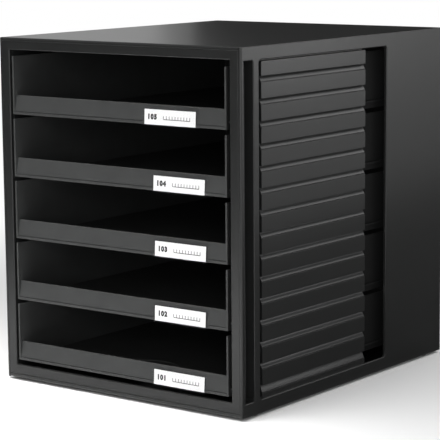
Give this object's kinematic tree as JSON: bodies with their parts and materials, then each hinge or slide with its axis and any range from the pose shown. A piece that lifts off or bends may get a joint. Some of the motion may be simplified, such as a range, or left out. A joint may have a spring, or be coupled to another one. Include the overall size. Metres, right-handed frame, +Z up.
{
  "type": "desktop drawer unit",
  "caption": "Low desktop cabinet with a panelled case on round feet and open-fronted sliding trays, each with a leaning lip and a clear label holder.",
  "frame": {"origin": "centre of the unit's base, on the surface that the feet stand on", "axes": "+Z up, +Y towards the back (the drawers pull out towards -Y), +X to the right seen from the front"},
  "size_m": [0.275, 0.33, 0.32],
  "materials": {
    "case": "satin black moulded polystyrene",
    "drawer": "satin black moulded polystyrene",
    "foot": "matt black rubber",
    "clear_holder": "clear moulded polystyrene",
    "label_card": "white card, matt"
  },
  "bodies": {
    "case": {"front_frame": "case", "top_panel": "case", "base_panel": "case", "back_panel": "case", "right_side_panel": "case", "left_side_panel": "case", "right_runner_panel": "case", "left_runner_panel": "case", "foot_front_left": "foot", "foot_front_right": "foot", "foot_rear_left": "foot", "foot_rear_right": "foot"},
    "drawer_1": {"drawer_1_tray": "drawer"},
    "label_1": {"drawer_1_label_holder": "clear_holder", "drawer_1_label_card": "label_card"},
    "drawer_2": {"drawer_2_tray": "drawer"},
    "label_2": {"drawer_2_label_holder": "clear_holder", "drawer_2_label_card": "label_card"},
    "drawer_3": {"drawer_3_tray": "drawer"},
    "label_3": {"drawer_3_label_holder": "clear_holder", "drawer_3_label_card": "label_card"},
    "drawer_4": {"drawer_4_tray": "drawer"},
    "label_4": {"drawer_4_label_holder": "clear_holder", "drawer_4_label_card": "label_card"},
    "drawer_5": {"drawer_5_tray": "drawer"},
    "label_5": {"drawer_5_label_holder": "clear_holder", "drawer_5_label_card": "label_card"}
  },
  "joints": [
    {"name": "drawer_1_slide", "type": "slide", "parent": "case", "child": "drawer_1", "axis": [0, -1, 0], "range_m": [0, 0.235]},
    {"name": "label_1_slide", "type": "slide", "parent": "drawer_1", "child": "label_1", "axis": [1, 0, 0], "range_m": [-0.1527, 0.0163]},
    {"name": "drawer_2_slide", "type": "slide", "parent": "case", "child": "drawer_2", "axis": [0, -1, 0], "range_m": [0, 0.235]},
    {"name": "label_2_slide", "type": "slide", "parent": "drawer_2", "child": "label_2", "axis": [1, 0, 0], "range_m": [-0.1547, 0.0143]},
    {"name": "drawer_3_slide", "type": "slide", "parent": "case", "child": "drawer_3", "axis": [0, -1, 0], "range_m": [0, 0.235]},
    {"name": "label_3_slide", "type": "slide", "parent": "drawer_3", "child": "label_3", "axis": [1, 0, 0], "range_m": [-0.1557, 0.0133]},
    {"name": "drawer_4_slide", "type": "slide", "parent": "case", "child": "drawer_4", "axis": [0, -1, 0], "range_m": [0, 0.235]},
    {"name": "label_4_slide", "type": "slide", "parent": "drawer_4", "child": "label_4", "axis": [1, 0, 0], "range_m": [-0.155, 0.014]},
    {"name": "drawer_5_slide", "type": "slide", "parent": "case", "child": "drawer_5", "axis": [0, -1, 0], "range_m": [0, 0.235]},
    {"name": "label_5_slide", "type": "slide", "parent": "drawer_5", "child": "label_5", "axis": [1, 0, 0], "range_m": [-0.146, 0.023]}
  ]
}
